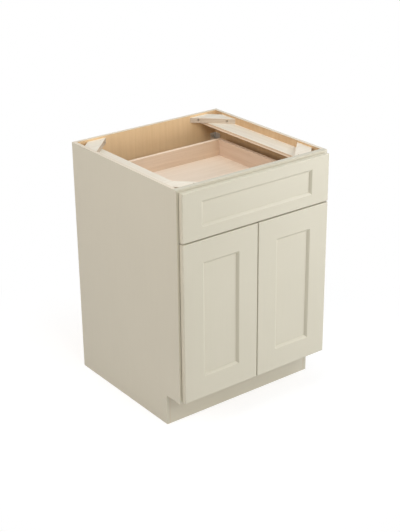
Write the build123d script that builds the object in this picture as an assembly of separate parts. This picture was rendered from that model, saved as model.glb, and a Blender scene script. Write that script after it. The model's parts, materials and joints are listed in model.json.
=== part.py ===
from build123d import *
import os

os.makedirs("parts", exist_ok=True)

# Framed kitchen base cabinet: one drawer over two doors, open top for a worktop. Millimetres.
# Origin: centre of the footprint on the floor. +X to the right, +Y to the wall, +Z up.

# Cabinet box
cabinet_width = 630.0
cabinet_height = 876.3
box_depth = 609.6
side_thickness = 12.7
back_thickness = 12.7
floor_thickness = 12.7
floor_dado = 6.0
toe_height = 114.3
toe_recess = 76.2
toe_board_thickness = 12.7

# Face frame
frame_thickness = 19.05
frame_stile_width = 38.1
top_rail_width = 38.1
middle_rail_width = 38.1
bottom_rail_width = 38.1
drawer_opening_height = 130.0

# Doors and drawer front
front_thickness = 19.0
front_gap = 2.0
side_reveal = 8.0
top_reveal = 8.0
bottom_reveal = 8.0
drawer_front_height = 168.0
front_seam = 4.6
door_seam = 3.0
door_frame_width = 86.2
drawer_front_stile_width = 83.0
drawer_front_rail_width = 47.0
panel_thickness = 6.4
panel_recess = 7.5
bevel_width = 8.0
bevel_depth = 6.5
groove_depth = 7.0
panel_play = 0.5
front_edge_radius = 2.5
back_edge_radius = 1.5

# Corner blocks and drawer kickers
block_leg = 118.0
block_clip = 44.0
block_thickness = 19.0
block_drop = 7.5
kicker_width = 71.0
kicker_thickness = 11.0
worktop_hole_radius = 2.5
worktop_hole_inset = 18.0
worktop_hole_margin = 12.0

# Drawer box
drawer_depth = 525.0
drawer_height = 81.0
drawer_lift = 5.8
drawer_wall = 15.0
drawer_bottom_thickness = 6.0
drawer_bottom_rise = 14.0
drawer_groove = 6.0
dovetail_count = 3
dovetail_pin_width = 8.0
dovetail_flare = 2.5
drawer_edge_radius = 2.0

# Drawer slides and their rear brackets
slide_thickness = 12.7
slide_height = 45.0
slide_length = 508.0
slide_wall_thickness = 1.2
slide_play = 0.4
slide_lip_gap = 2.5
slide_setback = 3.0
slide_rise = 46.0
bracket_thickness = 1.5
bracket_lap = 40.0
bracket_arm_height = 34.0
bracket_flange_height = 62.0
bracket_leg_depth = 28.0

# Shelf and shelf pins
shelf_thickness = 15.9
shelf_depth = 300.0
shelf_height = 380.0
shelf_play = 1.5
shelf_pin_radius = 2.5
shelf_pin_length = 16.0
shelf_pin_seat = 8.0
shelf_pin_inset = 40.0
shelf_pin_play = 0.05
shelf_hole_pitch = 32.0
shelf_hole_steps = 2

# Hinges: a pivot pin in the nose of a cup that is let into the back of the door
hinge_inset = 95.0
pivot_inset = 6.5
pivot_depth = 9.0
pin_radius = 1.25
pin_length = 18.0
pin_fixed_play = 0.02
pin_running_play = 0.05
knuckle_radius = 2.4
arm_thickness = 1.5
arm_width = 14.0
arm_side_play = 0.3
arm_plate_height = 46.0
arm_plate_margin = 1.0
cup_edge = 3.0
cup_margin_width = 6.4
cup_depth = 12.5
cup_thickness = 0.7
cup_cheek = 2.2
cup_seat_play = 0.05
cup_flange_thickness = 1.0
cup_flange_width = 23.0
cup_flange_height = 60.0
cup_flange_shift = 3.5

# Screws and bumpers
screw_play = 0.05
screw_radius = 2.0
screw_head_radius = 3.2
screw_head_top_radius = 2.0
screw_head_height = 1.8
block_screw_inset = 22.0
block_screw_sink_depth = 5.5
block_screw_depth = 9.0
pocket_play = 0.8
stile_screw_depth = 18.0
bracket_screw_end_length = 3.0
back_screw_depth = 9.0
back_screw_spacing = 40.0
slide_screw_spacing = 16.0
inner_rail_screw_depth = 10.0
inner_rail_screw_spacing = 180.0
front_screw_depth = 13.0
front_screw_spacing = 36.0
arm_screw_spacing = 32.0
cup_screw_length = 12.0
cup_screw_spacing = 45.0
bumper_radius = 4.0
bumper_play = 0.1
bumper_inset = 14.0

# Places that follow from the sizes
half_width = cabinet_width / 2
x_side = half_width - side_thickness
x_opening = half_width - frame_stile_width
x_front = half_width - side_reveal
x_drawer = x_opening - slide_thickness
x_drawer_in = x_drawer - drawer_wall
y_front = -(box_depth + front_gap + front_thickness) / 2
y_door_back = y_front + front_thickness
y_frame = y_door_back + front_gap
y_frame_back = y_frame + frame_thickness
y_frame_middle = (y_frame + y_frame_back) / 2
y_back = y_frame + box_depth
y_back_in = y_back - back_thickness
y_toe = y_frame + toe_recess
y_panel = y_front + panel_recess
y_panel_back = y_panel + panel_thickness
y_bevel = y_front + bevel_depth
y_drawer_in = y_door_back + drawer_wall
y_drawer_back = y_door_back + drawer_depth
y_drawer_back_in = y_drawer_back - drawer_wall
y_slide = y_frame + slide_setback
y_slide_end = y_slide + slide_length
z_top_rail = cabinet_height - top_rail_width
z_opening = z_top_rail - drawer_opening_height
z_middle_rail = z_opening - middle_rail_width
z_floor = toe_height + bottom_rail_width
z_floor_low = z_floor - floor_thickness
z_block = cabinet_height - block_drop - block_thickness
z_block_middle = z_block + block_thickness / 2
z_front_top = cabinet_height - top_reveal
z_front_low = z_front_top - drawer_front_height
z_door_top = z_front_low - front_seam
z_door_low = toe_height + bottom_reveal
z_drawer = z_opening + drawer_lift
z_drawer_top = z_drawer + drawer_height
z_drawer_floor = z_drawer + drawer_bottom_rise
z_drawer_inside = z_drawer_floor + drawer_bottom_thickness
z_slide = z_drawer + slide_rise
hinge_heights = [z_door_low + hinge_inset, z_door_top - hinge_inset]
ends = (-1, 1)


def block(x0, x1, y0, y1, z0, z1):
    """Box between two corners."""
    middle = ((x0 + x1) / 2, (y0 + y1) / 2, (z0 + z1) / 2)
    return Pos(*middle) * Box(abs(x1 - x0), abs(y1 - y0), abs(z1 - z0))


def rod(start, direction, radius, length):
    """Cylinder that runs from a point in a direction."""
    cylinder = Cylinder(radius, length, align=(Align.CENTER, Align.CENTER, Align.MIN))
    return Plane(origin=start, z_dir=direction) * cylinder


def mirrored(shape):
    """The left-hand twin of a piece on the right."""
    return mirror(shape, about=Plane.YZ)


def both(shapes):
    """Pieces on the right, then their left-hand twins."""
    return list(shapes) + [mirrored(shape) for shape in shapes]


def cut(piece, tools):
    """A piece with its holes and seats taken out."""
    for tool in tools:
        piece = piece - tool
    return piece


def pan_screw(at, outward, length, play=0.0):
    """Round-headed screw, its head standing on the face at a point. With play it is its own hole."""
    shank = Pos(0, 0, -length - play) * Cylinder(
        screw_radius + play, length + play, align=(Align.CENTER, Align.CENTER, Align.MIN))
    head = Cone(screw_head_radius + play, screw_head_top_radius + play, screw_head_height + play,
                align=(Align.CENTER, Align.CENTER, Align.MIN))
    return Plane(origin=at, z_dir=outward) * (shank + head)


def flush_screw(at, outward, length, play=0.0):
    """Countersunk screw, its head level with the face at a point. With play it is its own hole."""
    sink = screw_head_radius - screw_radius
    shank = Pos(0, 0, -length - play) * Cylinder(
        screw_radius + play, length + play, align=(Align.CENTER, Align.CENTER, Align.MIN))
    head = Pos(0, 0, -sink) * Cone(screw_radius + play, screw_head_radius + play, sink,
                                   align=(Align.CENTER, Align.CENTER, Align.MIN))
    return Plane(origin=at, z_dir=outward) * (shank + head)


def save(node, shapes):
    """One node: a piece, or a group of separate pieces."""
    if isinstance(shapes, list):
        solids = [solid for shape in shapes for solid in shape.solids()]
        export_step(Compound(children=solids), "parts/" + node + ".step")
    else:
        export_step(shapes, "parts/" + node + ".step")


def corner_block(y_corner, inward):
    """Right-hand triangular block with its square corner clipped; inward is its direction along Y."""
    points = [
        (x_side - block_leg, y_corner),
        (x_side - block_clip, y_corner),
        (x_side, y_corner + inward * block_clip),
        (x_side, y_corner + inward * block_leg),
    ]
    plate = extrude(make_face(Polyline(*points, close=True)), block_thickness, dir=(0, 0, 1))
    return Pos(0, 0, z_block) * plate


def corner_block_screw_seats(y_corner, inward):
    """Where a block's two pocket screws stand, and which way their heads face."""
    head_gap = block_screw_inset - block_screw_sink_depth
    along_side = y_corner + inward * (block_leg - block_screw_inset)
    along_end = x_side - block_leg + block_screw_inset
    return [
        ((x_side - head_gap, along_side, z_block_middle), (-1, 0, 0)),
        ((along_end, y_corner + inward * head_gap, z_block_middle), (0, inward, 0)),
    ]


def corner_block_screws(play=0.0):
    """Pocket screws of the right-hand blocks."""
    length = block_screw_inset - block_screw_sink_depth + block_screw_depth
    seats = corner_block_screw_seats(y_frame_back, 1) + corner_block_screw_seats(y_back_in, -1)
    return [pan_screw(at, outward, length, play) for at, outward in seats]


def finished_corner_block(y_corner, inward):
    """A right-hand block with its screw pockets and its worktop hole."""
    pockets = [rod(at, outward, screw_head_radius + pocket_play, block_screw_inset)
               for at, outward in corner_block_screw_seats(y_corner, inward)]
    x_hole = x_side - kicker_width - worktop_hole_margin
    y_hole = y_corner + inward * worktop_hole_inset
    hole = rod((x_hole, y_hole, z_block), (0, 0, 1), worktop_hole_radius, block_thickness)
    return cut(corner_block(y_corner, inward), pockets + [hole] + corner_block_screws(screw_play))


def shelf_pin_columns():
    """Places along Y of the shelf pins."""
    return [y_back_in - shelf_pin_inset, y_back_in - shelf_depth + shelf_pin_inset]


def side_panel():
    """Right side with the toe notch, the floor's dado, shelf-pin holes and screw holes."""
    panel = block(x_side, half_width, y_frame_back, y_back, 0, cabinet_height)
    notch = block(x_side, half_width, y_frame_back, y_toe, 0, toe_height)
    dado = block(x_side, x_side + floor_dado, y_frame_back, y_back_in, z_floor_low, z_floor)
    z_pin = shelf_height - shelf_pin_radius
    holes = [
        rod((x_side, y, z_pin + step * shelf_hole_pitch), (1, 0, 0),
            shelf_pin_radius + shelf_pin_play, shelf_pin_seat)
        for y in shelf_pin_columns()
        for step in range(-shelf_hole_steps, shelf_hole_steps + 1)
    ]
    return cut(panel, [notch, dado] + holes + corner_block_screws(screw_play))


def shelf_pins():
    """Right-hand shelf pins, under the shelf."""
    start_x = x_side + shelf_pin_seat
    z_pin = shelf_height - shelf_pin_radius
    return [rod((start_x, y, z_pin), (-1, 0, 0), shelf_pin_radius, shelf_pin_length)
            for y in shelf_pin_columns()]


def channel(x_web, x_tip, height, web_thickness):
    """Steel channel along the slide: a web at one side and two flanges that reach from it."""
    low = z_slide - height / 2
    high = z_slide + height / 2
    x_web_end = x_web + web_thickness
    web = block(x_web, x_web_end, y_slide, y_slide_end, low, high)
    lower = block(x_web, x_tip, y_slide, y_slide_end, low, low + slide_wall_thickness)
    upper = block(x_web, x_tip, y_slide, y_slide_end, high - slide_wall_thickness, high)
    return web + lower + upper


def slide_rails():
    """Right-hand slide: outer rail on the cabinet, middle rail, inner rail on the drawer."""
    step = 2 * (slide_wall_thickness + slide_play)
    x_middle = x_opening - slide_thickness / 2 - slide_wall_thickness / 2
    middle_height = slide_height - step
    outer = channel(x_opening, x_drawer + slide_lip_gap, slide_height, -slide_wall_thickness)
    middle = channel(x_middle, x_drawer + slide_lip_gap, middle_height, slide_wall_thickness)
    middle += channel(x_middle, x_opening - slide_lip_gap, middle_height, slide_wall_thickness)
    inner = channel(x_drawer, x_middle - slide_play, middle_height - step, slide_wall_thickness)
    return outer, middle, inner


def slide_bracket():
    """Right-hand rear bracket: an arm beside the outer rail, a flange on the back, a leg on the side."""
    y_arm = y_slide_end - bracket_lap
    half_arm = bracket_arm_height / 2
    half_flange = bracket_flange_height / 2
    arm = block(x_opening, x_opening + bracket_thickness, y_arm, y_back_in,
                z_slide - half_arm, z_slide + half_arm)
    flange = block(x_opening, x_side, y_back_in - bracket_thickness, y_back_in,
                   z_slide - half_flange, z_slide + half_flange)
    leg = block(x_side - bracket_thickness, x_side, y_back_in - bracket_leg_depth, y_back_in,
                z_slide - half_flange, z_slide + half_flange)
    return arm + flange + leg


def slide_screws(play=0.0):
    """Right-hand screws: outer rail to the stile and to the bracket, bracket to the back panel."""
    x_web = x_opening - slide_wall_thickness
    x_flange = (x_opening + x_side) / 2
    y_lap = y_slide_end - bracket_lap / 2
    to_stile = slide_wall_thickness + stile_screw_depth
    to_bracket = slide_wall_thickness + bracket_thickness + bracket_screw_end_length
    to_back = bracket_thickness + back_screw_depth
    screws = []
    for end in ends:
        z_web = z_slide + end * slide_screw_spacing / 2
        z_flange = z_slide + end * back_screw_spacing / 2
        screws += [
            pan_screw((x_web, y_frame_middle, z_web), (-1, 0, 0), to_stile, play),
            pan_screw((x_web, y_lap, z_web), (-1, 0, 0), to_bracket, play),
            pan_screw((x_flange, y_back_in - bracket_thickness, z_flange), (0, -1, 0), to_back, play),
        ]
    return screws


def inner_rail_screws(play=0.0):
    """Right-hand screws from the slide's inner rail into the drawer side."""
    y_middle = y_slide + slide_length / 2
    x_web = x_drawer + slide_wall_thickness
    length = slide_wall_thickness + inner_rail_screw_depth
    return [pan_screw((x_web, y_middle + step * inner_rail_screw_spacing, z_slide), (1, 0, 0), length, play)
            for step in (-1, 0, 1)]


def pin_socket(y_end, y_root, z_middle):
    """Space in a drawer side for one dovetail pin, wider at its root."""
    narrow = dovetail_pin_width / 2
    wide = narrow + dovetail_flare
    points = [(y_end, z_middle - narrow), (y_end, z_middle + narrow),
              (y_root, z_middle + wide), (y_root, z_middle - wide)]
    face = Plane.YZ * make_face(Polyline(*points, close=True))
    return Pos(x_drawer_in, 0, 0) * extrude(face, drawer_wall, dir=(1, 0, 0))


def drawer_box():
    """Dovetailed drawer box: right side, box front, back and bottom."""
    walls = block(-x_drawer, x_drawer, y_door_back, y_drawer_back, z_drawer, z_drawer_top)
    walls -= block(-x_drawer_in, x_drawer_in, y_drawer_in, y_drawer_back_in, z_drawer, z_drawer_top)
    walls = fillet(walls.faces().sort_by(Axis.Z)[-1].edges(), drawer_edge_radius)
    side = walls & block(x_drawer_in, x_drawer, y_door_back, y_drawer_back, z_drawer, z_drawer_top)
    pitch = drawer_height / dovetail_count
    for index in range(dovetail_count):
        z_pin = z_drawer + (index + 0.5) * pitch
        side -= pin_socket(y_door_back, y_drawer_in, z_pin)
        side -= pin_socket(y_drawer_back, y_drawer_back_in, z_pin)
    front = walls & block(-x_drawer, x_drawer, y_door_back, y_drawer_in, z_drawer, z_drawer_top)
    back = walls & block(-x_drawer, x_drawer, y_drawer_back_in, y_drawer_back, z_drawer, z_drawer_top)
    front = cut(front, [side, mirrored(side)])
    back = cut(back, [side, mirrored(side)])
    x_slot = x_drawer_in + drawer_groove
    y_slot = y_drawer_in - drawer_groove
    y_slot_end = y_drawer_back_in + drawer_groove
    slot = block(-x_slot, x_slot, y_slot, y_slot_end, z_drawer_floor, z_drawer_inside)
    bottom = block(-x_slot + panel_play, x_slot - panel_play, y_slot + panel_play, y_slot_end - panel_play,
                   z_drawer_floor, z_drawer_inside)
    return side - slot, front - slot, back - slot, bottom


def splayed(low, high):
    """Outline across a recess, from the bevels' edges on the front face to the panel."""
    return [(low - bevel_width, y_front), (high + bevel_width, y_front), (high, y_bevel),
            (high, y_panel), (low, y_panel), (low, y_bevel)]


def framed_front(x0, x1, z0, z1, stile_width, rail_width):
    """Five-piece front: bevelled stiles, rails coped to them with tongues in their grooves, a flat panel."""
    blank = block(x0, x1, y_front, y_door_back, z0, z1)
    blank = fillet(blank.faces().sort_by(Axis.Y)[0].edges(), front_edge_radius)
    blank = fillet(blank.faces().sort_by(Axis.Y)[-1].edges(), back_edge_radius)
    left_edge = x0 + stile_width
    right_edge = x1 - stile_width
    low_edge = z0 + rail_width
    high_edge = z1 - rail_width
    slot_left = left_edge - groove_depth
    slot_right = right_edge + groove_depth
    slot_low = low_edge - groove_depth
    slot_high = high_edge + groove_depth
    slot = block(slot_left, slot_right, y_panel, y_panel_back, slot_low, slot_high)
    tongues = block(slot_left, slot_right, y_panel, y_panel_back, z0, z1)
    across = make_face(Polyline(*splayed(left_edge, right_edge), close=True))
    stile_bevels = Pos(0, 0, z0) * extrude(across, z1 - z0, dir=(0, 0, 1))
    upright = [(y, z) for z, y in splayed(low_edge, high_edge)]
    rail_bevels = extrude(Plane.YZ * make_face(Polyline(*upright, close=True)), x1 - x0, dir=(1, 0, 0))
    rail_bevels = Pos(x0, 0, 0) * rail_bevels
    left_stile = blank & block(x0, left_edge, y_front, y_door_back, z0, z1)
    right_stile = blank & block(right_edge, x1, y_front, y_door_back, z0, z1)
    between = block(left_edge, right_edge, y_front, y_door_back, z0, z1) + stile_bevels + tongues
    rails = [
        blank & between & block(x0, x1, y_front, y_door_back, low, high)
        for low, high in ((high_edge, z1), (z0, low_edge))
    ]
    stiles = [cut(stile, [tongues, stile_bevels]) for stile in (left_stile, right_stile)]
    rails = [cut(rail, [slot, rail_bevels]) for rail in rails]
    panel = block(slot_left + panel_play, slot_right - panel_play, y_panel, y_panel_back,
                  slot_low + panel_play, slot_high - panel_play)
    return stiles[0], stiles[1], rails[0], rails[1], panel


def drawer_front_screws(play=0.0):
    """Right-hand screws from inside the drawer into the front's stile, beside the panel's edge."""
    x_panel_edge = x_front - drawer_front_stile_width + groove_depth
    x_screw = (x_panel_edge + x_drawer_in) / 2
    z_middle = (z_drawer_inside + z_drawer_top) / 2
    return [
        pan_screw((x_screw, y_drawer_in, z_middle + end * front_screw_spacing / 2), (0, 1, 0),
                  drawer_wall + front_screw_depth, play)
        for end in ends
    ]


def bumper(x, z):
    """Soft disc on the back of a front, just clear of the face frame."""
    return rod((x, y_door_back, z), (0, 1, 0), bumper_radius, front_gap - bumper_play)


# Hinge places, on the right
x_pivot = x_front - pivot_inset
y_pivot = y_door_back - pivot_depth
cup_radius = (x_front - x_opening + arm_thickness + cup_margin_width - cup_edge) / 2
x_cup = x_front - cup_edge - cup_radius
x_cup_flange = x_cup - cup_flange_shift
nose_half = arm_width / 2 + arm_side_play


def cup_pocket(z, shrink, cheek, depth):
    """Round pocket with a straight-sided nose for the pivot, sunk into the back of the door."""
    x_nose = x_front - cup_edge - shrink
    half = nose_half + cheek
    round_part = rod((x_cup, y_door_back, z), (0, -1, 0), cup_radius - shrink, depth)
    nose = block(x_cup, x_nose, y_door_back - depth, y_door_back, z - half, z + half)
    return round_part + nose


def cup_bore(z):
    """Hole in the door for a hinge cup."""
    return cup_pocket(z, 0, cup_cheek, cup_depth)


def cup_screws(z, play=0.0):
    """The two screws that hold a hinge cup."""
    y_face = y_door_back + cup_flange_thickness
    heights = [z + end * cup_screw_spacing / 2 for end in ends]
    return [flush_screw((x_cup_flange, y_face, height), (0, 1, 0), cup_screw_length, play)
            for height in heights]


def hinge_cup(z):
    """Right-hand pressed cup with its flange and the two cheeks that hold the pin."""
    depth = cup_depth - cup_seat_play
    inside_shrink = cup_seat_play + cup_thickness
    hollow = cup_pocket(z, inside_shrink, 0, depth - cup_thickness)
    cup = cup_pocket(z, cup_seat_play, cup_cheek - cup_seat_play, depth) - hollow
    half_width_flange = cup_flange_width / 2
    half_height_flange = cup_flange_height / 2
    flange = block(x_cup_flange - half_width_flange, x_cup_flange + half_width_flange, y_door_back,
                   y_door_back + cup_flange_thickness, z - half_height_flange, z + half_height_flange)
    flange -= Pos(0, cup_flange_thickness, 0) * hollow
    pin_hole = rod((x_pivot, y_pivot, z - pin_length / 2 - pin_running_play), (0, 0, 1),
                   pin_radius + pin_running_play, pin_length + 2 * pin_running_play)
    return cut(cup + flange, [pin_hole] + cup_screws(z, screw_play))


def hinge_pin(z):
    """Pivot pin, fixed in the arm's knuckle."""
    return rod((x_pivot, y_pivot, z - pin_length / 2), (0, 0, 1), pin_radius, pin_length)


def arm_screws(z, play=0.0):
    """Screws from the hinge arm's plate into the edge of the stile."""
    x_face = x_opening - arm_thickness
    return [
        pan_screw((x_face, y_frame_middle, z + end * arm_screw_spacing / 2), (-1, 0, 0),
                  arm_thickness + stile_screw_depth, play)
        for end in ends
    ]


def hinge_arm(z):
    """Right-hand arm: knuckle on the pin, a strap along the cup, a plate on the edge of the stile."""
    half = arm_width / 2
    half_plate = arm_plate_height / 2
    x_inner = x_opening - arm_thickness
    y_strap = y_pivot - knuckle_radius
    y_plate_end = y_frame_back - arm_plate_margin
    knuckle = rod((x_pivot, y_pivot, z - half), (0, 0, 1), knuckle_radius, arm_width)
    strap = block(x_inner, x_pivot, y_strap, y_strap + arm_thickness, z - half, z + half)
    leg = block(x_inner, x_opening, y_strap, y_plate_end, z - half, z + half)
    plate = block(x_inner, x_opening, y_frame + arm_plate_margin, y_plate_end,
                  z - half_plate, z + half_plate)
    pin_hole = rod((x_pivot, y_pivot, z - half), (0, 0, 1), pin_radius + pin_fixed_play, arm_width)
    return cut(knuckle + strap + leg + plate, [pin_hole] + arm_screws(z, screw_play))


# Cabinet box
right_side = side_panel()
save("right_side_panel", right_side)
save("left_side_panel", mirrored(right_side))
back_panel = block(-x_side, x_side, y_back_in, y_back, 0, cabinet_height)
save("back_panel", cut(back_panel, both(corner_block_screws(screw_play) + slide_screws(screw_play))))
x_floor = x_side + floor_dado
save("cabinet_floor", block(-x_floor, x_floor, y_frame_back, y_back_in, z_floor_low, z_floor))
save("toe_kick_board", block(-x_side, x_side, y_toe, y_toe + toe_board_thickness, 0, z_floor_low))

# Face frame
stile_holes = slide_screws(screw_play) + [hole for z in hinge_heights for hole in arm_screws(z, screw_play)]
right_stile = block(x_opening, half_width, y_frame, y_frame_back, toe_height, cabinet_height)
right_stile = cut(right_stile, stile_holes)
save("right_frame_stile", right_stile)
save("left_frame_stile", mirrored(right_stile))
top_rail = block(-x_opening, x_opening, y_frame, y_frame_back, z_top_rail, cabinet_height)
save("frame_top_rail", cut(top_rail, both(corner_block_screws(screw_play))))
save("frame_middle_rail", block(-x_opening, x_opening, y_frame, y_frame_back, z_middle_rail, z_opening))
save("frame_bottom_rail", block(-x_opening, x_opening, y_frame, y_frame_back, toe_height, z_floor))

# Corner blocks and drawer kickers
front_block = finished_corner_block(y_frame_back, 1)
rear_block = finished_corner_block(y_back_in, -1)
save("front_right_corner_block", front_block)
save("front_left_corner_block", mirrored(front_block))
save("rear_right_corner_block", rear_block)
save("rear_left_corner_block", mirrored(rear_block))
save("corner_block_screws", both(corner_block_screws()))
kicker = block(x_side - kicker_width, x_side, y_frame_back, y_back_in, z_block - kicker_thickness, z_block)
save("right_drawer_kicker", kicker)
save("left_drawer_kicker", mirrored(kicker))

# Shelf
x_shelf = x_side - shelf_play
shelf_top = shelf_height + shelf_thickness
y_shelf = y_back_in - shelf_depth
save("shelf", block(-x_shelf, x_shelf, y_shelf, y_back_in - shelf_play, shelf_height, shelf_top))
save("shelf_pins", both(shelf_pins()))

# Drawer slides
outer_rail, middle_rail, inner_rail = slide_rails()
outer_rail = cut(outer_rail, slide_screws(screw_play))
inner_rail = cut(inner_rail, inner_rail_screws(screw_play))
bracket = cut(slide_bracket(), slide_screws(screw_play))
save("right_slide_outer_rail", outer_rail)
save("left_slide_outer_rail", mirrored(outer_rail))
save("right_slide_middle_rail", middle_rail)
save("left_slide_middle_rail", mirrored(middle_rail))
save("right_slide_inner_rail", inner_rail)
save("left_slide_inner_rail", mirrored(inner_rail))
save("slide_rear_brackets", both([bracket]))
save("slide_screws", both(slide_screws()))
save("drawer_slide_screws", both(inner_rail_screws()))

# Drawer box
drawer_side, drawer_box_front, drawer_back, drawer_bottom = drawer_box()
drawer_side = cut(drawer_side, inner_rail_screws(screw_play))
save("drawer_right_side", drawer_side)
save("drawer_left_side", mirrored(drawer_side))
save("drawer_box_front", cut(drawer_box_front, both(drawer_front_screws(screw_play))))
save("drawer_back", drawer_back)
save("drawer_bottom", drawer_bottom)

# Drawer front
front_left, front_right, front_top, front_low, front_panel = framed_front(
    -x_front, x_front, z_front_low, z_front_top, drawer_front_stile_width, drawer_front_rail_width)
save("drawer_front_left_stile", cut(front_left, both(drawer_front_screws(screw_play))))
save("drawer_front_right_stile", cut(front_right, both(drawer_front_screws(screw_play))))
save("drawer_front_top_rail", front_top)
save("drawer_front_bottom_rail", front_low)
save("drawer_front_panel", front_panel)
save("drawer_front_screws", both(drawer_front_screws()))
x_bumper = (x_opening + x_front) / 2
bumper_heights = [z_front_low + bumper_inset, z_front_top - bumper_inset]
save("drawer_bumpers", both([bumper(x_bumper, z) for z in bumper_heights]))

# Doors
meeting_stile, hinge_stile, door_top, door_low, door_panel = framed_front(
    door_seam / 2, x_front, z_door_low, z_door_top, door_frame_width, door_frame_width)
cup_holes = [hole for z in hinge_heights for hole in [cup_bore(z)] + cup_screws(z, screw_play)]
x_door_bumper = door_seam / 2 + bumper_inset
door_pieces = {
    "hinge_stile": cut(hinge_stile, cup_holes),
    "meeting_stile": meeting_stile,
    "top_rail": door_top,
    "bottom_rail": door_low,
    "panel": door_panel,
    "hinge_cups": [hinge_cup(z) for z in hinge_heights],
    "cup_screws": [screw for z in hinge_heights for screw in cup_screws(z)],
    "bumpers": [bumper(x_door_bumper, (z_middle_rail + z_door_top) / 2),
                bumper(x_door_bumper, (z_door_low + z_floor) / 2)],
}
for piece, shape in door_pieces.items():
    twin = [mirrored(one) for one in shape] if isinstance(shape, list) else mirrored(shape)
    save("right_door_" + piece, shape)
    save("left_door_" + piece, twin)

# Hinge pieces on the face frame
save("hinge_arms", both([hinge_arm(z) for z in hinge_heights]))
save("hinge_pins", both([hinge_pin(z) for z in hinge_heights]))
save("hinge_arm_screws", both([screw for z in hinge_heights for screw in arm_screws(z)]))
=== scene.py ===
import json
import math

import bmesh
import bpy
from mathutils import Matrix, Vector


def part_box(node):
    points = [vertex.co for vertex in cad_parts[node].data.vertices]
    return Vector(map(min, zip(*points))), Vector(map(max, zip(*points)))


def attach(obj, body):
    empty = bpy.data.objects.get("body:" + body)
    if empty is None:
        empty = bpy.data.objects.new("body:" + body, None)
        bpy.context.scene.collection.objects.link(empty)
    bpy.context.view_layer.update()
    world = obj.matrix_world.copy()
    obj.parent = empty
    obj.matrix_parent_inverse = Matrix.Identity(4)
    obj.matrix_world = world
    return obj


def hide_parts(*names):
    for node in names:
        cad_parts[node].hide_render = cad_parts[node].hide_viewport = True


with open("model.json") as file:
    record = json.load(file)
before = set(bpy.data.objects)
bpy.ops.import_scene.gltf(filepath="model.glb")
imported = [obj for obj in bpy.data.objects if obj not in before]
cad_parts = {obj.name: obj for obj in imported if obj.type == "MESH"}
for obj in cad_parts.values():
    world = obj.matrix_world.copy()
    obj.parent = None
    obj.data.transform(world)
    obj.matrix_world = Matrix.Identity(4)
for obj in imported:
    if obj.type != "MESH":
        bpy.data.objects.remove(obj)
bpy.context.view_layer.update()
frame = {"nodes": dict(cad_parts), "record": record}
nodes = frame["nodes"]
ACROSS, DEEP, UP = 0, 1, 2

# Places on the cabinet, in metres
side_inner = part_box("right_side_panel")[0].x
side_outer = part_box("right_side_panel")[1].x
cabinet_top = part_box("right_side_panel")[1].z
cabinet_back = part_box("back_panel")[1].y
back_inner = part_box("back_panel")[0].y
toe_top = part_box("right_frame_stile")[0].z
toe_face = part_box("toe_kick_board")[0].y
drawer_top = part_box("drawer_back")[1].z

# How far in from a face its own look reaches, in metres
skin = 0.0004
millimetre = 0.001

# Screws, in metres
screw_radius = 0.0020
head_radius = 0.0032
head_height = 0.0018
head_sink = head_radius - screw_radius
head_lip = 0.0001
dome_radius, dome_drop = 0.0024, 0.0007
shoulder_radius, shoulder_drop = 0.0030, 0.0015
recess_radius = 0.0017
recess_half_width = 0.0004
recess_depth = 0.0008
point_length = 0.0035
tip_radius = 0.0004

# Facets round a screw, its turn after the one before in radians, and the narrowing of a recess
screw_facets = 20
screw_turn = 0.7
recess_taper = 0.75

# A head's points lie further than this from the screw's axis, in metres
head_reach = 1.2 * screw_radius

# Eased edges and the gap that counts as none, in metres
board_arris = 0.0007
bumper_arris = 0.0007
no_gap = 0.00001
cut_gap = 0.000001

# Edges sharper than these are eased, or left unsmoothed on a screw
eased_angle = math.radians(40)
unsmoothed_angle = math.radians(35)

# Plies in a metre of thickness
board_plies = 350
kicker_plies = 118

# Floor, in metres from the middle: its edge, and where the shadow fades out
floor_reach = 30
shadow_near, shadow_far = 0.5, 1.1

# Floor tones: as it lights the cabinet, as a camera sees it near the cabinet, and the even light
floor_tone = 0.80
shadow_tone = 0.40
shadow_glow = 0.7
soft_light = 0.10
white = (1, 1, 1, 1)

# Camera, worked out from the cabinet's corners in the photograph: degrees, metres and pixels
camera_turn, camera_tilt, camera_roll = -36.853, 24.285, -0.654
camera_place = (-2.3367, -3.1110, 2.1855)
focal_pixels = 1200.7
picture_height = 532


def colour(red, green, blue):
    """A colour in the 0 to 255 steps of a paint card, as Blender's linear numbers."""
    steps = [step / 255 for step in (red, green, blue)]
    return (*[s / 12.92 if s <= 0.04045 else ((s + 0.055) / 1.055) ** 2.4 for s in steps], 1)


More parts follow.
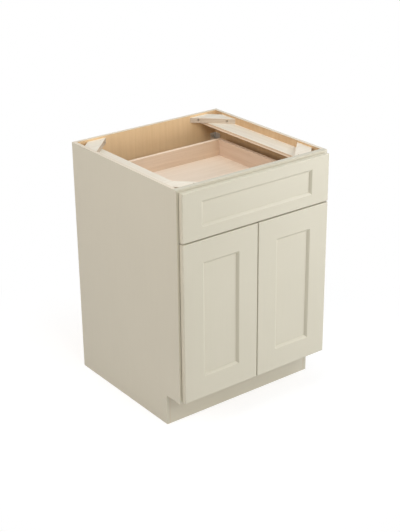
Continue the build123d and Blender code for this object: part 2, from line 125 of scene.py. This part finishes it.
class Wire:
    """One output of a shader node. Sums on wires add Math nodes, and node() adds any other kind."""

    def __init__(self, tree, socket=None):
        self.tree = tree
        self.socket = socket

    def node(self, kind, settings, inputs, output=0):
        """A new node's output, once its settings are made and its sockets are set or linked."""
        made = self.tree.nodes.new("ShaderNode" + kind)
        for name, value in settings.items():
            setattr(made, name, value)
        for key, value in inputs.items():
            if isinstance(value, Wire):
                self.tree.links.new(value.socket, made.inputs[key])
            else:
                made.inputs[key].default_value = value
        return Wire(self.tree, made.outputs[output] if made.outputs else None)

    def math(self, operation, *values):
        return self.node("Math", {"operation": operation}, dict(enumerate(values)))

    def __add__(self, other):
        return self.math("ADD", self, other)

    def __sub__(self, other):
        return self.math("SUBTRACT", self, other)

    def __rsub__(self, other):
        return self.math("SUBTRACT", other, self)

    def __mul__(self, other):
        return self.math("MULTIPLY", self, other)

    __radd__ = __add__

    def over(self, low, high):
        """0 below low and 1 above high, with a soft step between."""
        return self.node("MapRange", {"interpolation_type": "SMOOTHSTEP"},
                         {"Value": self, "From Min": low, "From Max": high})

    def either(self, other):
        return self.math("MAXIMUM", self, other)

    def wave(self):
        return self.math("SINE", self)

    def zigzag(self):
        return self.math("PINGPONG", self, 1.0)

    def blend(self, first, second):
        """The first colour where this wire is 0, the second where it is 1."""
        return self.node("Mix", {"data_type": "RGBA"}, {0: self, 6: first, 7: second}, 2)

    def axes(self):
        """The three numbers of a vector."""
        split = self.node("SeparateXYZ", {}, {0: self})
        return [Wire(self.tree, socket) for socket in split.socket.node.outputs]


def material(name, surface):
    """A material whose Principled sockets come from surface(), which is given the piece's own place."""
    made = bpy.data.materials.new(name)
    made.use_nodes = True
    made.node_tree.nodes.clear()
    start = Wire(made.node_tree)
    place = start.node("TexCoord", {}, {}, "Object")
    shader = start.node("BsdfPrincipled", {}, surface(place))
    start.node("OutputMaterial", {}, {"Surface": shader})
    return made


def noise(place, scale, detail):
    return place.node("TexNoise", {}, {"Vector": place, "Scale": scale, "Detail": detail})


def along_grain(place, grain, slow):
    """The place with the grain's own axis squeezed, so that a pattern is drawn out along it."""
    scale = [1.0, 1.0, 1.0]
    scale[grain] = slow
    return place.node("Mapping", {}, {"Vector": place, "Scale": scale})


def bump(height):
    """Surface relief from a height in millimetres."""
    return height.node("Bump", {}, {"Height": height, "Distance": millimetre})


def board(place, grain, deep, light, pore):
    """Colour, roughness and relief of a board: growth bands, streaks, fine fibre and short dark pores."""
    sway = noise(along_grain(place, grain, 0.10), 9, 2)
    bands = (sway * 46).wave() * 0.5 + 0.5
    streaks = noise(along_grain(place, grain, 0.04), 130, 2)
    fibre = noise(along_grain(place, grain, 0.03), 520, 2)
    flecks = noise(along_grain(place, grain, 0.07), 760, 1).over(0.66, 0.76)
    cloud = noise(place, 5, 2)
    tone = bands * 0.26 + streaks * 1.4 + fibre * 0.5 + cloud * 0.5 - 0.83
    shade = (flecks * 0.45).blend(tone.blend(deep, light), pore)
    return shade, 0.42 + fibre * 0.14, fibre * 0.03 - flecks * 0.03


def lacquer(place, grain, deep, light):
    """Colour, roughness and relief of sprayed lacquer, with the grain just showing through."""
    fibre = noise(along_grain(place, grain, 0.03), 300, 2)
    cloud = noise(place, 4, 2)
    peel = noise(place, 520, 1)
    tone = cloud * 0.6 + fibre * 0.4
    return tone.blend(deep, light), 0.36 + cloud * 0.12, fibre * 0.012 + peel * 0.012


def ply_layers(place, depth, light, dark, plies):
    """Colour of a sawn plywood edge, from the distance in through its thickness."""
    layer = (depth * plies).zigzag().over(0.35, 0.65)
    rays = noise(place, 900, 2)
    return (layer * 0.7 + rays * 0.4 - 0.05).blend(light, dark)


cream_light, cream_deep = colour(208, 202, 184), colour(200, 194, 175)
# A lighter copy of the cream for the toe board: painted light, brightening a board that stands in shade
# under the fronts
toe_brightened_light, toe_brightened_deep = colour(211, 204, 186), colour(203, 196, 176)
maple_light, maple_deep, maple_pore = colour(234, 202, 158), colour(225, 192, 147), colour(212, 175, 131)
# A darker copy of the maple for the side panels' inner faces: painted shade for the shadowed inside of
# the cabinet
shaded_maple_light, shaded_maple_deep, shaded_maple_pore = colour(211, 179, 139), colour(200, 165, 123), colour(179, 140, 100)
pale_light, pale_deep, pale_pore = colour(245, 238, 223), colour(231, 220, 202), colour(205, 187, 163)
back_light, back_deep, back_pore = colour(226, 203, 180), colour(211, 185, 159), colour(180, 147, 120)
wall_light, wall_deep, wall_pore = colour(218, 196, 175), colour(204, 178, 154), colour(174, 142, 117)
birch_light, birch_deep, birch_pore = colour(244, 228, 210), colour(236, 219, 199), colour(222, 200, 176)
# Paler beech for the drawer boards' top edges: a painted highlight where light falls on them
painted_highlight_beech = colour(244, 224, 203)
edge_light, edge_dark = colour(237, 227, 211), colour(220, 206, 183)
layer_light, layer_dark = colour(247, 230, 210), colour(206, 181, 152)
block_layer_light, block_layer_dark = colour(211, 199, 183), colour(181, 161, 138)


def dressed(shade, rough, relief):
    return {"Base Color": shade, "Roughness": rough, "Normal": bump(relief)}


def painted_wood(name, grain, deep, light):
    return material(name, lambda place: dressed(*lacquer(place, grain, deep, light)))


def solid_wood(name, grain, deep, light, pore):
    return material(name, lambda place: dressed(*board(place, grain, deep, light, pore)))


def side_ply():
    """Side panel: cream outside and in the toe notch, inside a darker copy of the clear maple that is
    painted shade, bare plywood edges.
    """
    def surface(place):
        x, y, z = place.axes()
        across = x.math("ABSOLUTE", x)
        # Inner face: the darker maple copy, painted shade
        shade, rough, relief = board(place, UP, shaded_maple_deep, shaded_maple_light, shaded_maple_pore)
        cream, cream_rough, cream_relief = lacquer(place, UP, cream_deep, cream_light)
        edge = z.over(cabinet_top - skin, cabinet_top - skin / 2).either(
            y.over(cabinet_back - skin, cabinet_back - skin / 2))
        notch = (1 - z.over(toe_top + skin, toe_top + 2 * skin)) * across.over(
            side_inner + skin, side_inner + 2 * skin) * (1 - y.over(toe_face + skin, toe_face + 2 * skin))
        paint = across.over(side_outer - 2 * skin, side_outer - skin).either(notch)
        sawn = ply_layers(place, across - side_inner, edge_light, edge_dark, board_plies)
        shade = paint.blend(edge.blend(shade, sawn), cream)
        rough = rough + paint * (cream_rough - rough)
        relief = relief + paint * (cream_relief - relief)
        return dressed(shade, rough, relief)
    return material("side_ply", surface)


def back_ply():
    """Back panel: clear maple plywood with its layers showing on the top edge."""
    def surface(place):
        x, y, z = place.axes()
        shade, rough, relief = board(place, UP, maple_deep, maple_light, maple_pore)
        edge = z.over(cabinet_top - skin, cabinet_top - skin / 2)
        sawn = ply_layers(place, y - back_inner, edge_light, edge_dark, board_plies)
        shade = edge.blend(shade, sawn)
        return dressed(shade, rough, relief)
    return material("back_ply", surface)


def layered_wood(name, grain, sample, light, dark, plies):
    """Pale plywood: plain faces, and layers on the sawn edges between a sample piece's two faces."""
    low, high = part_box(sample)[0].z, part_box(sample)[1].z

    def surface(place):
        z = place.axes()[UP]
        shade, rough, relief = board(place, grain, pale_deep, pale_light, pale_pore)
        edge = z.over(low + skin / 2, low + skin) * (1 - z.over(high - skin, high - skin / 2))
        shade = edge.blend(shade, ply_layers(place, z - low, light, dark, plies))
        return dressed(shade, rough, relief)
    return material(name, surface)


def drawer_wood(name, grain, deep, light, pore):
    """Drawer board: beech with a paler top edge, a painted highlight where light falls on it."""
    def surface(place):
        shade, rough, relief = board(place, grain, deep, light, pore)
        # The top edge takes the paler beech: a painted highlight
        edge = place.axes()[UP].over(drawer_top - skin, drawer_top - skin / 2)
        return dressed(edge.blend(shade, painted_highlight_beech), rough, relief)
    return material(name, surface)


def plated_steel(name, metal, rough):
    """Plated sheet steel: faint rolling lines and a patchy bright finish."""
    def surface(place):
        lines = noise(along_grain(place, DEEP, 0.02), 1400, 2)
        patch = noise(place, 160, 2)
        shade = (lines * 0.5 + patch * 0.5).blend([c * 0.86 for c in metal[:3]] + [1], metal)
        return {"Base Color": shade, "Metallic": 1.0, "Roughness": rough + lines * 0.08 + patch * 0.10,
                "Normal": bump(lines * 0.004)}
    return material(name, surface)


def soft_vinyl():
    """Milky bumper, a little cloudy."""
    def surface(place):
        cloud = noise(place, 900, 2)
        return {"Base Color": cloud.blend(colour(216, 216, 210), colour(236, 236, 231)),
                "Roughness": 0.30 + cloud * 0.15, "Normal": bump(cloud * 0.02)}
    return material("soft_vinyl", surface)


paint_across = painted_wood("cream_paint_across", ACROSS, cream_deep, cream_light)
paint_up = painted_wood("cream_paint_up", UP, cream_deep, cream_light)
# The toe board's lighter cream copy is painted light on a board in shade
toe_brightened_paint = painted_wood("toe_board_painted_light", ACROSS, toe_brightened_deep, toe_brightened_light)
side_finish = side_ply()
back_finish = back_ply()
maple_across = solid_wood("maple_ply_across", ACROSS, maple_deep, maple_light, maple_pore)
pale_across = layered_wood("pale_ply_across", ACROSS, "rear_right_corner_block", block_layer_light,
                           block_layer_dark, board_plies)
pale_along = layered_wood("pale_ply_along", DEEP, "right_drawer_kicker", layer_light, layer_dark,
                          kicker_plies)
beech_across = drawer_wood("drawer_beech_across", ACROSS, back_deep, back_light, back_pore)
beech_along = drawer_wood("drawer_beech_along", DEEP, wall_deep, wall_light, wall_pore)
birch_bottom = solid_wood("drawer_bottom_birch", ACROSS, birch_deep, birch_light, birch_pore)
zinc_plate = plated_steel("zinc_plate", (0.84, 0.81, 0.76, 1), 0.42)
rail_zinc = plated_steel("rail_zinc", (0.58, 0.57, 0.55, 1), 0.42)
nickel_plate = plated_steel("nickel_plate", (0.72, 0.71, 0.69, 1), 0.20)
screw_zinc = plated_steel("screw_zinc", (0.60, 0.57, 0.48, 1), 0.28)
vinyl = soft_vinyl()

fronts = ("drawer_front", "left_door", "right_door")
finishes = {
    toe_brightened_paint: ["toe_kick_board"],
    paint_across: ["frame_top_rail", "frame_middle_rail", "frame_bottom_rail"]
    + [front + end for front in fronts for end in ("_top_rail", "_bottom_rail")] + ["drawer_front_panel"],
    paint_up: ["left_frame_stile", "right_frame_stile"]
    + ["drawer_front_left_stile", "drawer_front_right_stile"]
    + [door + end for door in fronts[1:] for end in ("_hinge_stile", "_meeting_stile", "_panel")],
    side_finish: ["left_side_panel", "right_side_panel"],
    back_finish: ["back_panel"],
    maple_across: ["cabinet_floor", "shelf"],
    pale_across: [end + side + "_corner_block" for end in ("front_", "rear_")
                  for side in ("left", "right")],
    pale_along: ["left_drawer_kicker", "right_drawer_kicker"],
    beech_across: ["drawer_back", "drawer_box_front"],
    beech_along: ["drawer_left_side", "drawer_right_side"],
    birch_bottom: ["drawer_bottom"],
    zinc_plate: ["slide_rear_brackets"],
    rail_zinc: [side + "_slide_" + rail + "_rail" for side in ("left", "right")
                for rail in ("outer", "middle", "inner")],
    nickel_plate: ["hinge_arms", "hinge_pins", "shelf_pins"]
    + [door + "_hinge_cups" for door in fronts[1:]],
    screw_zinc: ["corner_block_screws", "slide_screws", "drawer_slide_screws", "drawer_front_screws",
                 "hinge_arm_screws", "left_door_cup_screws", "right_door_cup_screws"],
    vinyl: ["drawer_bumpers", "left_door_bumpers", "right_door_bumpers"],
}
for finish, names in finishes.items():
    for name in names:
        nodes[name].material_slots[0].material = finish


def solids_of(shape):
    """The separate solids of a mesh, each as a list of its vertices."""
    left = set(shape.verts)
    while left:
        found = [left.pop()]
        for vert in found:
            near = {edge.other_vert(vert) for edge in vert.link_edges} & left
            left -= near
            found.extend(near)
        yield found


def screw_seats(name):
    """For each screw of a node: the middle of its head's top, the way the head faces, and its length."""
    shape = bmesh.new()
    shape.from_mesh(nodes[name].data)
    bmesh.ops.remove_doubles(shape, verts=shape.verts, dist=no_gap)
    seats = []
    for solid in solids_of(shape):
        low = Vector([min(vert.co[axis] for vert in solid) for axis in range(3)])
        high = Vector([max(vert.co[axis] for vert in solid) for axis in range(3)])
        size, middle = high - low, (low + high) / 2
        along = max(range(3), key=lambda axis: size[axis])
        outward = Vector((0, 0, 0))
        outward[along] = 1
        rises = [(vert.co - middle).dot(outward) for vert in solid
                 if (vert.co - middle).cross(outward).length > head_reach]
        if sum(rises) < 0:
            outward.negate()
        seats.append((middle + outward * size[along] / 2, outward, size[along]))
    shape.free()
    return seats


def cross_screw(length, flush):
    """A screw with a cross recess, its head's top at the origin and its point down."""
    if flush:
        head = [(0, 0), (recess_radius, 0), (head_radius - head_lip, 0), (head_radius, -head_lip),
                (screw_radius, -head_sink)]
    else:
        head = [(0, 0), (recess_radius, -head_lip), (dome_radius, -dome_drop),
                (shoulder_radius, -shoulder_drop), (head_radius, -head_height),
                (screw_radius, -head_height)]
    outline = head + [(screw_radius, point_length - length), (tip_radius, -length), (0, -length)]
    shape = bmesh.new()
    verts = [shape.verts.new((radius, 0, rise)) for radius, rise in outline]
    edges = [shape.edges.new(pair) for pair in zip(verts, verts[1:])]
    bmesh.ops.spin(shape, geom=verts + edges, cent=(0, 0, 0), axis=(0, 0, 1), angle=math.tau,
                   steps=screw_facets, use_merge=True)
    bmesh.ops.remove_doubles(shape, verts=shape.verts, dist=no_gap)
    bmesh.ops.recalc_face_normals(shape, faces=shape.faces)

    def top_faces():
        return [face for face in shape.faces if face.calc_center_median().xy.length < recess_radius
                and face.normal.z > 0.5]

    for across in (Vector((1, 0, 0)), Vector((0, 1, 0))):
        for side in (1, -1):
            faces = top_faces()
            around = {edge for face in faces for edge in face.edges}
            corners = {vert for face in faces for vert in face.verts}
            bmesh.ops.bisect_plane(shape, geom=faces + list(around) + list(corners), dist=cut_gap,
                                   plane_co=across * side * recess_half_width, plane_no=across)
    cross = [face for face in top_faces()
             if min(abs(place) for place in face.calc_center_median().xy) < recess_half_width]
    sunk = bmesh.ops.extrude_face_region(shape, geom=cross)["geom"]
    floor = [part for part in sunk if isinstance(part, bmesh.types.BMVert)]
    bmesh.ops.translate(shape, verts=floor, vec=(0, 0, -recess_depth))
    bmesh.ops.scale(shape, verts=floor, vec=(recess_taper, recess_taper, 1))
    return shape


def fit_screws(name, flush):
    """Detailed screws in the place of a node's plain ones."""
    whole = bmesh.new()
    mesh = bpy.data.meshes.new("cross_" + name)
    for count, (top, outward, length) in enumerate(screw_seats(name)):
        shape = cross_screw(length, flush)
        turn = outward.to_track_quat("Z", "Y").to_matrix() @ Matrix.Rotation(screw_turn * count, 3, "Z")
        bmesh.ops.transform(shape, matrix=Matrix.Translation(top) @ turn.to_4x4(), verts=shape.verts)
        shape.to_mesh(mesh)
        shape.free()
        whole.from_mesh(mesh)
    whole.to_mesh(mesh)
    whole.free()
    mesh.shade_smooth()
    mesh.set_sharp_from_angle(angle=unsmoothed_angle)
    mesh.materials.append(screw_zinc)
    piece = bpy.data.objects.new("cross_" + name, mesh)
    bpy.context.scene.collection.objects.link(piece)
    bodies = frame["record"]["behaviour"]["bodies"]
    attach(piece, next(body for body, held in bodies.items() if name in held))
    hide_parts(name)


def ease_edges(name, arris, steps):
    """Rounds the sharp edges of a plain piece a little, as sanding or moulding does."""
    weld = nodes[name].modifiers.new("weld", "WELD")
    weld.merge_threshold = no_gap
    bevel = nodes[name].modifiers.new("arris", "BEVEL")
    bevel.width = arris
    bevel.segments = steps
    bevel.limit_method = "ANGLE"
    bevel.angle_limit = eased_angle
    bevel.harden_normals = True


for name in finishes[screw_zinc]:
    fit_screws(name, flush=name.endswith("cup_screws"))
for name in finishes[pale_along] + ["shelf", "cabinet_floor", "toe_kick_board"]:
    ease_edges(name, board_arris, 2)
for name in finishes[vinyl]:
    ease_edges(name, bumper_arris, 3)


def seen_direct(start):
    """1 for what a camera, a mirror or glass sees, 0 for plain light."""
    path = start.node("LightPath", {}, {}, "Is Camera Ray")
    ways = path.socket.node.outputs
    glossy = Wire(start.tree, ways["Is Glossy Ray"])
    through = Wire(start.tree, ways["Is Transmission Ray"])
    return path.either(glossy).either(through)


def grey(tone):
    return (tone, tone, tone, 1)


def lit_stage():
    """Pale floor. A camera sees the cabinet's soft shadow on it and plain white further out."""
    mesh = bpy.data.meshes.new("studio_floor")
    shape = bmesh.new()
    bmesh.ops.create_grid(shape, x_segments=1, y_segments=1, size=floor_reach)
    shape.to_mesh(mesh)
    shape.free()
    floor = bpy.data.objects.new("studio_floor", mesh)
    bpy.context.scene.collection.objects.link(floor)
    made = bpy.data.materials.new("studio_floor")
    made.use_nodes = True
    made.node_tree.nodes.clear()
    start = Wire(made.node_tree)
    place = start.node("TexCoord", {}, {}, "Object")
    distance = place.node("VectorMath", {"operation": "LENGTH"}, {0: place}, "Value")
    far = distance.over(shadow_near, shadow_far)
    sheet = start.node("BsdfDiffuse", {}, {"Color": grey(floor_tone)})
    shadow = start.node("BsdfDiffuse", {}, {"Color": grey(shadow_tone)})
    glow = start.node("Emission", {}, {"Color": white, "Strength": shadow_glow})
    near = start.node("AddShader", {}, {0: shadow, 1: glow})
    plain = start.node("Emission", {}, {"Color": white, "Strength": 1.0})
    seen = start.node("MixShader", {}, {0: far, 1: near, 2: plain})
    top = start.node("MixShader", {}, {0: seen_direct(start), 1: sheet, 2: seen})
    under = start.node("NewGeometry", {}, {}, "Backfacing")
    clear = start.node("BsdfTransparent", {}, {})
    shader = start.node("MixShader", {}, {0: under, 1: top, 2: clear})
    start.node("OutputMaterial", {}, {"Surface": shader})
    mesh.materials.append(made)


def studio_world(level):
    """White round the cabinet for the camera, and an even soft light of a lower level on it."""
    world = bpy.data.worlds.new("studio")
    bpy.context.scene.world = world
    world.use_nodes = True
    world.node_tree.nodes.clear()
    start = Wire(world.node_tree)
    soft = start.node("Background", {}, {"Color": white, "Strength": level})
    plain = start.node("Background", {}, {"Color": white, "Strength": 1.0})
    shader = start.node("MixShader", {}, {0: seen_direct(start), 1: soft, 2: plain})
    start.node("OutputWorld", {}, {"Surface": shader})


def softbox(name, place, aim, width, watts, tint, glare=True):
    """A square soft lamp at a place, turned to its aim. Without glare, no shiny surface mirrors it."""
    lamp = bpy.data.lights.new(name, "AREA")
    lamp.size = width
    lamp.energy = watts
    lamp.color = tint
    holder = bpy.data.objects.new(name, lamp)
    holder.location = place
    holder.visible_glossy = glare
    holder.rotation_euler = (Vector(aim) - Vector(place)).to_track_quat("-Z", "Y").to_euler()
    bpy.context.scene.collection.objects.link(holder)


def photo_camera():
    """Camera at the photograph's place and angle."""
    turn, tilt, roll = [math.radians(angle) for angle in (camera_turn, camera_tilt, camera_roll)]
    back = Vector((math.sin(turn) * math.cos(tilt), -math.cos(turn) * math.cos(tilt), math.sin(tilt)))
    right = Vector((math.cos(turn), math.sin(turn), 0))
    up = back.cross(right)
    level_right = math.cos(roll) * right + math.sin(roll) * up
    level_up = math.cos(roll) * up - math.sin(roll) * right
    data = bpy.data.cameras.new("photo_camera")
    data.lens = focal_pixels / picture_height * data.sensor_width
    camera = bpy.data.objects.new("photo_camera", data)
    facing = Matrix((level_right, level_up, back)).transposed()
    camera.matrix_world = Matrix.Translation(camera_place) @ facing.to_4x4()
    bpy.context.scene.collection.objects.link(camera)
    bpy.context.scene.camera = camera


lit_stage()
studio_world(soft_light)
# Each lamp's place and aim in metres, width in metres, watts and tint
softbox("left_box", (-2.6, -0.1, 1.5), (-0.3, 0, 0.9), 0.9, 21.1, (1.0, 0.96, 0.91))
softbox("high_left_box", (-2.4, 0.3, 2.8), (-0.2, 0.1, 0.7), 1.4, 23.1, (1.0, 0.89, 0.89))
softbox("overhead_box", (0.0, 0.2, 3.2), (0, 0, 0.6), 2.2, 22.0, (0.89, 0.98, 1.0))
softbox("high_front_box", (-0.3, -2.4, 2.4), (0, 0, 0.6), 1.6, 37.1, (1.0, 0.99, 0.94))
softbox("near_right_box", (1.0, -1.0, 1.5), (0.3, -0.3, 0.8), 0.6, 4.4, (0.89, 0.89, 1.0))
softbox("low_right_box", (2.4, -2.2, 0.9), (0, 0, 0.4), 1.6, 52.1, (0.92, 0.95, 1.0), glare=False)
softbox("rear_box", (0.0, 2.4, 0.5), (0, 0, 0.45), 0.6, 18, (1.0, 1.0, 1.0))
photo_camera()
bpy.context.scene.view_settings.view_transform = "Standard"
